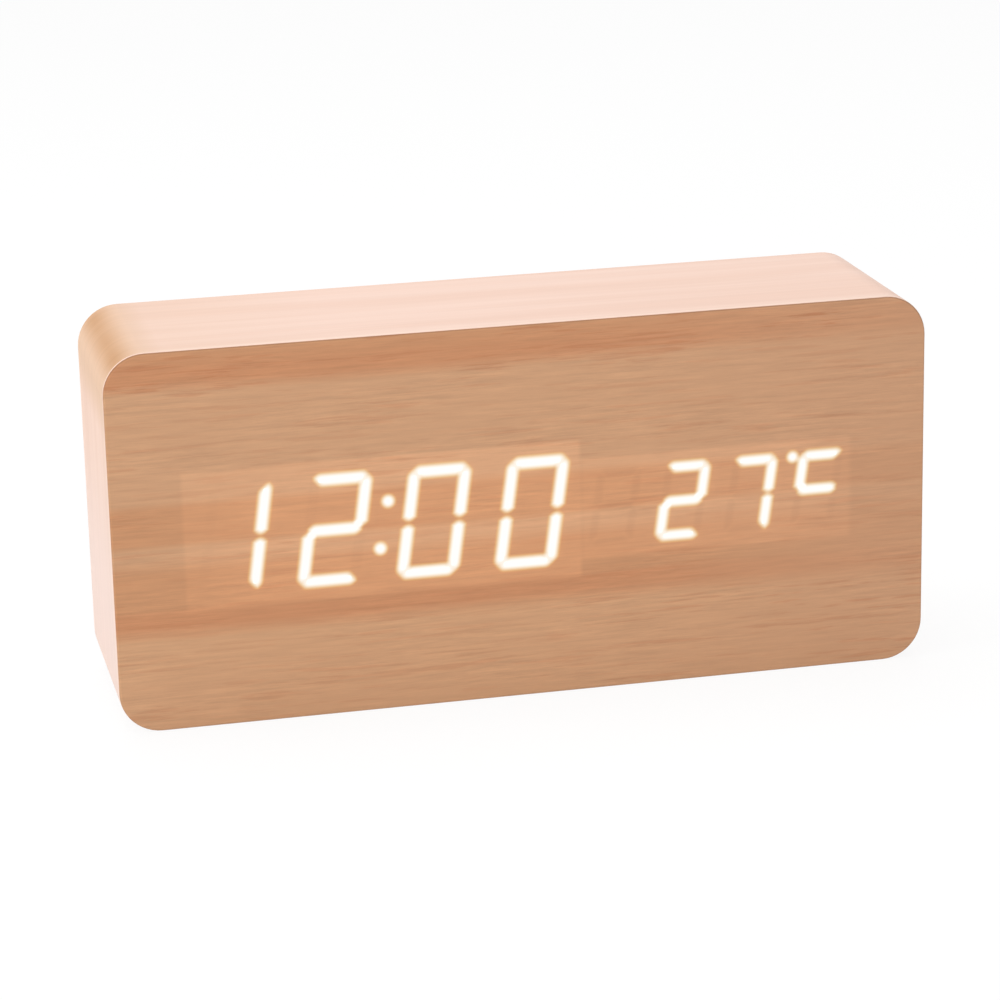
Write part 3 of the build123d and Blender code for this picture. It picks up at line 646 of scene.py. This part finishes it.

# %% [markdown]
# The film isn't one tone all round. Clouds of a deeper tone drift through it. Low down on the left side it
# is painted paler and cooler, for the stronger light that falls there, and along the front edge a cream
# band is a painted highlight. Round the upper left corner the film is warmer, with a tan band along the
# corner.
# Each is one more mix, with a soft step for its place.

# %% Tones of the sides
CLOUD = tone(234, 201, 184)
COOL_LIT = tone(235, 212, 202)
CREAM_HIGHLIGHT = tone(244, 218, 200)
WARM = tone(222, 186, 157)
CORNER_TAN = tone(192, 145, 103)

low_left_light = z.step(60, 20) * x.step(0, -40)
front_highlight = y.step(-17.4, -18.8)
pale = wrap.mix(PALE_LIT_WRAP, CLOUD, cloud.step(0.3, 0.7))
# Low on the left side: painted light, paler and cooler, for the stronger light that falls there
pale = wrap.mix(pale, COOL_LIT, low_left_light * 0.8)
# Along the front edge: a cream painted highlight
pale = wrap.mix(pale, CREAM_HIGHLIGHT, front_highlight * 0.7)
# Round the upper left corner: a warmer tone, and a tan band along the corner
from_corner = x + z - (low.x + high.z)
up_left = z - x
at_corner = up_left.step(118, 124) * inset.step(1.0, 0.2)
warm = (abs(from_corner + 2).step(17, 5) * at_corner).most(up_left.step(95, 140) * 0.25)
uneven = wrap.noise(0.0, y * 0.12, 4.4, 2.0) + 0.4
corner_band = abs(from_corner - 1).step(6.5, 0.0) * at_corner * uneven * 0.9
side_tone = wrap.mix(wrap.mix(pale, WARM, warm), CORNER_TAN, corner_band)
print("tones of the sides:", len(wrap.tree.nodes), "nodes")

# %% [markdown]
# The grain shows most on the two ends and on the edge at the back, and least on the top. Its height is a
# few hundredths of a millimetre. Real relief that fine would need millions of faces, and a bump is enough
# to break up the gloss.

# %% Side finish
right_end = x.step(66, 74)
left_end = x.step(-66, -74)
back_edge = y.step(17, 19)
contrast = 0.05 + right_end * 0.08 + left_end * 0.05 + back_edge * 0.06
wrap.set_surface({"Base Color": wrap.shade(side_tone, (lines - 0.5) * contrast * 2 + 1)})
wrap.bump(lines, 0.03, 0.2)
cover(wrap, "front_board", "case_ring")

# %% [markdown]
# New pieces are small here, so a few helpers shape them all in millimetres. A flat shape is stood up,
# grows its thickness by an extrusion, and is gathered with others into one mesh. Its object could be moved
# and scaled instead, but with the place in the mesh the object stays at the origin, as the solids do.

# %% Shaping helpers
def turn(shape, angle, axis):
    bmesh.ops.rotate(shape, verts=shape.verts, cent=(0, 0, 0), matrix=Matrix.Rotation(angle, 3, axis))


def move(shape, offset):
    bmesh.ops.translate(shape, verts=shape.verts, vec=offset)


def stand_up(shape, thickness):
    """Stand a flat shape up, facing the front, and let it grow along Y."""
    turn(shape, math.pi / 2, "X")
    grown = bmesh.ops.extrude_face_region(shape, geom=shape.faces[:], use_keep_orig=True)["geom"]
    corners = [v for v in grown if isinstance(v, bmesh.types.BMVert)]
    bmesh.ops.translate(shape, verts=corners, vec=(0, thickness, 0))


def gather(shape, whole):
    """Add a finished small shape to a larger mesh."""
    scrap = bpy.data.meshes.new("scrap")
    shape.to_mesh(scrap)
    whole.from_mesh(scrap)
    shape.free()
    bpy.data.meshes.remove(scrap)


def add_piece(name, whole, finish, body):
    """Make an object of a mesh in millimetres, and let it ride on a body."""
    bmesh.ops.recalc_face_normals(whole, faces=whole.faces)
    bmesh.ops.scale(whole, verts=whole.verts, vec=(1 / MM, 1 / MM, 1 / MM))
    mesh = bpy.data.meshes.new(name)
    whole.to_mesh(mesh)
    whole.free()
    mesh.materials.append(finish.material)
    piece = bpy.data.objects.new(name, mesh)
    bpy.context.scene.collection.objects.link(piece)
    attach(piece, body)
    print(name, len(mesh.polygons), "faces")


print("shaping helpers ready")

# %% [markdown]
# A lit bar is also a piece of its own, a wafer in the film where the light comes through, so that the
# digits are there as a shape and not only as paint. Each starts as a square, is stretched, gets its
# corners rounded by a vertex bevel, and is then turned, leaned over and moved to its digit.

# %% Bars of light
WAFER = 0.03        # thickness of a wafer
SUNK = 0.01         # how far it sits in the film
INSET = 0.55        # how much narrower it is than the soft bar, at each side
ROUNDED = 0.46      # radius of its corners, as a share of its width
SLANT = Matrix(((1, 0, LEAN, 0), (0, 1, 0, 0), (0, 0, 1, 0), (0, 0, 0, 1)))


def flat_bar(length, width):
    """A flat bar along X with rounded corners."""
    shape = bmesh.new()
    bmesh.ops.create_grid(shape, x_segments=1, y_segments=1, size=0.5)
    bmesh.ops.scale(shape, verts=shape.verts, vec=(length, width, 1))
    bmesh.ops.bevel(shape, geom=shape.verts[:], offset=width * ROUNDED, affect="VERTICES", segments=5,
                    profile=0.5, material=-1)
    return shape


def bar_place(module, letter):
    """How long a bar is, how far it is turned, and where its middle is in the digit."""
    if letter in BARS:
        return module.width, 0, (0, 0, BARS[letter] * module.rise)
    side, level = COLUMNS[letter]
    middle = (side * module.width / 2, 0, level * (module.rise + module.gap) / 2)
    return module.rise - module.gap, math.pi / 2, middle


def light_wafers(module, dots):
    """All lit bars and dots of a module as one mesh."""
    whole = bmesh.new()
    back_y = FILM_FRONT + SUNK
    for index, letters in enumerate(module.shown):
        digit_x = module.x - module.half + (index + 0.5) * module.pitch
        for letter in letters:
            length, angle, middle = bar_place(module, letter)
            shape = flat_bar(length - 2 * INSET, module.stroke - 2 * INSET)
            stand_up(shape, -WAFER)
            turn(shape, angle, "Y")
            move(shape, middle)
            bmesh.ops.transform(shape, verts=shape.verts, matrix=SLANT)
            move(shape, (digit_x, back_y, module.z))
            gather(shape, whole)
    for dot_x, dot_z, radius in dots:
        shape = bmesh.new()
        bmesh.ops.create_circle(shape, cap_ends=True, segments=24, radius=radius - INSET)
        stand_up(shape, -WAFER)
        move(shape, (dot_x, back_y, dot_z))
        gather(shape, whole)
    return whole


shine = Finish("lit_film", {"Base Color": tone(60, 58, 54), "Roughness": 0.5, "Emission Strength": 1.0})
x, y, z = shine.place()
flicker = shine.noise(x * 0.3, y, z * 0.6, 2.0)
cold_white = (0.90, 0.97, 0.93, 1)
warm_white = (0.92, 0.96, 0.89, 1)
shine.set_surface({"Emission Color": shine.mix(cold_white, warm_white, flicker)})
add_piece("time_light", light_wafers(time_module, DOTS[:2]), shine, "case")
add_piece("temp_light", light_wafers(temp_module, DOTS[2:]), shine, "case")
cover(shine, "time_segments_lit", "temp_segments_lit")

# %% [markdown]
# Most of what is at the back and inside is moulded plastic. One plain black would do from afar, but a real
# moulding is never quite even: the mould leaves a fine texture, and the colour drifts a little. One
# function makes all these plastics from a colour, a roughness, and the size and depth of the texture.

# %% Moulded plastics
def moulded(name, colour, roughness, texture_mm, depth_mm, drift=0.15):
    """Plastic with the fine texture of its mould and a little drift in its colour."""
    finish = Finish(name)
    x, y, z = finish.place()
    fine = finish.noise(x / texture_mm, y / texture_mm, z / texture_mm, 3.0, 0.6)
    broad = finish.noise(x * 0.08, y * 0.08, z * 0.08, 2.0)
    finish.set_surface({"Base Color": finish.shade(colour, 1 - drift / 2 + broad * drift),
                        "Roughness": fine * 0.2 + (roughness - 0.1)})
    finish.bump(fine, depth_mm, 0.6)
    return finish


# Name, colour, roughness, size and depth of the texture in millimetres, and the solids made of it
PLASTICS = [
    ("rear_plastic", tone(38, 38, 40), 0.55, 0.5, 0.05, ["rear_plate", "battery_door", "battery_tray"]),
    ("button_black", tone(30, 30, 32), 0.42, 0.3, 0.02,
     ["down_button", "set_button", "up_button", "sound_switch_knob"]),
    ("display_case", tone(34, 33, 32), 0.6, 0.4, 0.02, ["time_display_case", "temp_display_case"]),
    ("dark_segment", tone(176, 172, 164), 0.5, 0.8, 0.01, ["time_segments_unlit", "temp_segments_unlit"]),
    ("led_chip", tone(228, 205, 110), 0.3, 0.3, 0.005, ["led_chips"]),
    ("chip_black", tone(26, 26, 27), 0.5, 0.25, 0.015,
     ["controller_chip", "segment_resistors", "buzzer"]),
    ("connector_white", tone(228, 223, 208), 0.45, 0.5, 0.02, ["display_connector", "control_connector"]),
    ("switch_body", tone(36, 36, 37), 0.5, 0.4, 0.02, ["tact_switch_bodies"]),
    ("plunger", tone(60, 60, 62), 0.4, 0.3, 0.01, ["down_plunger", "set_plunger", "up_plunger"]),
    ("jack_black", tone(22, 22, 23), 0.35, 0.4, 0.01, ["power_jack_body"]),
    ("sensor_bead", tone(46, 40, 34), 0.25, 0.8, 0.02, ["temperature_sensor"]),
    ("wire_red", tone(178, 26, 22), 0.38, 0.6, 0.02, ["battery_wire_red"]),
    ("wire_black", tone(28, 28, 29), 0.38, 0.6, 0.02, ["battery_wire_black"]),
]
for name, colour, roughness, texture_mm, depth_mm, covered in PLASTICS:
    cover(moulded(name, colour, roughness, texture_mm, depth_mm), *covered)

# %% [markdown]
# Metal parts show fine scratches from drawing, turning or plating. The Principled surface has a setting
# for brushed metal, but it shows no single scratch. So the scratches are noise stretched along the part,
# and they change the roughness more than the colour.

# %% Metals
def plated(name, colour, roughness, stretch):
    """Metal with fine lines: stretch gives the lumps per millimetre along x, y and z."""
    finish = Finish(name, {"Metallic": 1.0})
    x, y, z = finish.place()
    scratch = finish.noise(x * stretch[0], y * stretch[1], z * stretch[2], 4.0, 0.7)
    stain = finish.noise(x * 0.25, y * 0.25, z * 0.25, 2.0)
    finish.set_surface({"Base Color": finish.shade(colour, stain * 0.2 + 0.88),
                        "Roughness": scratch * 0.3 + (roughness - 0.15)})
    finish.bump(scratch, 0.01, 0.4)
    return finish


# Name, colour, roughness, stretch of the scratches, and the solids made of it
METALS = [
    ("inner_screw", tone(196, 194, 186), 0.38, (3, 0.6, 3),
     ["display_board_screws", "control_board_screws"]),
    ("outer_screw", tone(52, 52, 54), 0.42, (3, 0.6, 3), ["rear_plate_screws"]),
    ("bright_can", tone(205, 205, 206), 0.3, (0.5, 3, 3),
     ["clock_crystal", "sound_switch_body", "microphone"]),
    ("contact_plate", tone(214, 212, 204), 0.3, (3, 0.5, 3), ["battery_contacts", "battery_springs"]),
    ("jack_pin", tone(222, 208, 168), 0.28, (3, 0.4, 3), ["power_jack_pin"]),
]
for name, colour, roughness, stretch, covered in METALS:
    cover(plated(name, colour, roughness, stretch), *covered)

# %% [markdown]
# A circuit board is glass fibre under green solder mask. Copper tracks show through the mask as slightly
# paler lines, and bare pads are tinned. Drawing every track would be a long job for a board that is shut
# in, so tracks and pads follow the grid of the holes, with some of its cells left out at random.

# %% Circuit boards
HOLE_PITCH = 2.54
MASK = tone(20, 84, 46)
TRACK = tone(46, 122, 72)
TIN = tone(206, 206, 200)

mask = Finish("circuit_board")
x, y, z = mask.place()
cell = mask.vector(math.floor(x / HOLE_PITCH), 0, math.floor(z / HOLE_PITCH))
pick = mask.add("ShaderNodeTexWhiteNoise", None, {"Vector": cell}, "Value")
across = abs(x % HOLE_PITCH - HOLE_PITCH / 2)
upward = abs(z % HOLE_PITCH - HOLE_PITCH / 2)
pad = mask.length(across, upward).step(0.62, 0.56) * pick.step(0.84, 0.85)
track = upward.step(0.24, 0.18).most(across.step(0.24, 0.18) * pick.step(0.5, 0.51))
track = track * mask.noise(x * 0.05, 0, z * 0.12, 1.0).step(0.48, 0.52)
weave = mask.noise(x * 2.2, 0, z * 2.2, 2.0)
green = mask.shade(mask.mix(MASK, TRACK, track), weave * 0.2 + 0.9)
mask.set_surface({"Base Color": mask.mix(green, TIN, pad), "Metallic": pad,
                  "Roughness": weave * 0.12 + 0.26})
mask.bump(track.most(pad), 0.03, 0.5)
cover(mask, "display_board", "control_board")

# %% [markdown]
# The ribbon cable is ten wires side by side, so its grey insulation is ridged along its length and the
# first wire is marked red. The ridges could be modelled, but the cable is hidden inside, so a half circle
# over each wire goes to the bump instead. The same half circle also darkens the colour towards the grooves
# between the wires: painted shade.

# %% Ribbon cable
WIRE_PITCH = 1.0
WIRE_GREY = tone(158, 158, 162)
WIRE_RED = tone(182, 40, 36)

ribbon = Finish("ribbon_grey")
x, y, z = ribbon.place()
from_left = x - box_mm("ribbon_cable")[0].x
in_wire = from_left % WIRE_PITCH
ridge = (in_wire * (1 - in_wire) * 4) ** 0.5
first_wire = from_left.step(1.02, 0.98)
dust = ribbon.noise(x, y, z, 2.0)
insulation = ribbon.mix(WIRE_GREY, WIRE_RED, first_wire)
# Darker towards the grooves between the wires: painted shade
ribbon.set_surface({"Base Color": ribbon.shade(insulation, ridge * 0.25 + 0.75),
                    "Roughness": dust * 0.15 + 0.4})
ribbon.bump(ridge, 0.3, 0.8)
cover(ribbon, "ribbon_cable")

# %% [markdown]
# The capacitor is a metal can in a printed sleeve, with a pale stripe down one side and a bare top. Sleeve
# and can could be two solids, but they never come apart. So soft steps on the depth and the width part
# the metal from the print.

# %% Capacitor
SLEEVE = tone(34, 44, 92)
STRIPE = tone(196, 200, 206)
CAN = tone(200, 200, 200)

sleeve = Finish("capacitor_sleeve")
x, y, z = sleeve.place()
low, high = box_mm("filter_capacitor")
from_top = y - high.y
stripe = (x - (low.x + high.x) / 2).step(1.6, 1.75) * from_top.step(-0.35, -0.45)
bare_top = from_top.step(-0.35, -0.25)
dust = sleeve.noise(x, y, z, 2.0)
sleeve_tone = sleeve.mix(sleeve.mix(SLEEVE, STRIPE, stripe), CAN, bare_top)
sleeve.set_surface({"Base Color": sleeve.shade(sleeve_tone, dust * 0.15 + 0.92),
                    "Metallic": bare_top, "Roughness": dust * 0.12 + 0.28})
cover(sleeve, "filter_capacitor")

# %% [markdown]
# The three cells wear a dark jacket with a copper band at the tip end, and their ends are bare metal. Each
# could have a material of its own, but one will do: the middle cell lies the other way round, so there the
# distance from the tip is measured from the other end.

# %% Battery cells
JACKET = tone(40, 44, 50)
BAND = tone(186, 120, 58)
LINE = tone(214, 212, 206)
BARE = tone(206, 206, 206)

jacket = Finish("cell_wrap")
x, y, z = jacket.place()
low, high = box_mm("battery_cells")
middle_row = abs(z - (low.z + high.z) / 2).step(5.5, 5.3)
from_tip = (x - low.x) * (1 - middle_row) + (high.x - x) * middle_row
bare = from_tip.step(1.9, 1.7).most(from_tip.step(43.4, 43.6))
band = from_tip.step(13.6, 13.4)
line = abs(from_tip - 14.3).step(0.35, 0.25)
dust = jacket.noise(x * 0.4, y, z, 3.0)
jacket_tone = jacket.mix(jacket.mix(JACKET, BAND, band), LINE, line)
jacket_tone = jacket.mix(jacket_tone, BARE, bare)
jacket.set_surface({"Base Color": jacket.shade(jacket_tone, dust * 0.12 + 0.93),
                    "Metallic": bare.most(band * 0.7), "Roughness": dust * 0.15 + 0.26})
cover(jacket, "battery_cells")

# %% [markdown]
# Small marks are printed beside the controls at the back: arrows for down and up, a ring for the middle
# button, and an open and a filled dot for the two ends of the sound switch. A texture could show them,
# but thin raised print keeps its sharp edge in every view. A triangle is simply a circle of three sides.

# %% Marks beside the controls
PLATE_BACK = box_mm("rear_plate")[1].y
PRINT = 0.04        # height of the print
ABOVE = 6.6         # from the middle of a button up to its mark
BELOW_SWITCH = 3.6  # from the middle of the switch down to its dots
APART = 1           # from there to each side
ARROW, RING, DOT = 1.3, 1.1, 0.6        # radius of each mark


def print_mark(whole, x, z, radius, sides, angle=0.0, stroke=0.0):
    """A triangle, dot or, where a stroke is given, a ring, as thin print on the rear plate."""
    shape = bmesh.new()
    bmesh.ops.create_circle(shape, cap_ends=True, segments=sides, radius=radius)
    if stroke:
        bmesh.ops.inset_region(shape, faces=shape.faces[:], thickness=stroke, use_boundary=True)
        largest = max(shape.faces, key=lambda f: len(f.verts))
        bmesh.ops.delete(shape, geom=[largest], context="FACES_ONLY")
    turn(shape, angle, "Z")
    stand_up(shape, PRINT)
    move(shape, (x, PLATE_BACK, z))
    gather(shape, whole)


def middle_of(node):
    low, high = box_mm(node)
    return (low + high) / 2


marks = bmesh.new()
down, chosen, upper = (middle_of(key + "_button") for key in ("down", "set", "up"))
print_mark(marks, down.x, down.z + ABOVE, ARROW, 3, angle=math.pi)
print_mark(marks, chosen.x, chosen.z + ABOVE, RING, 28, stroke=0.35)
print_mark(marks, upper.x, upper.z + ABOVE, ARROW, 3)
switch = middle_of("sound_switch_body")
print_mark(marks, switch.x - APART, switch.z - BELOW_SWITCH, DOT, 24, stroke=0.2)
print_mark(marks, switch.x + APART, switch.z - BELOW_SWITCH, DOT, 24)
ink = moulded("mark_print", tone(214, 214, 212), 0.5, 0.3, 0.01, drift=0.1)
add_piece("rear_marks", marks, ink, "case")
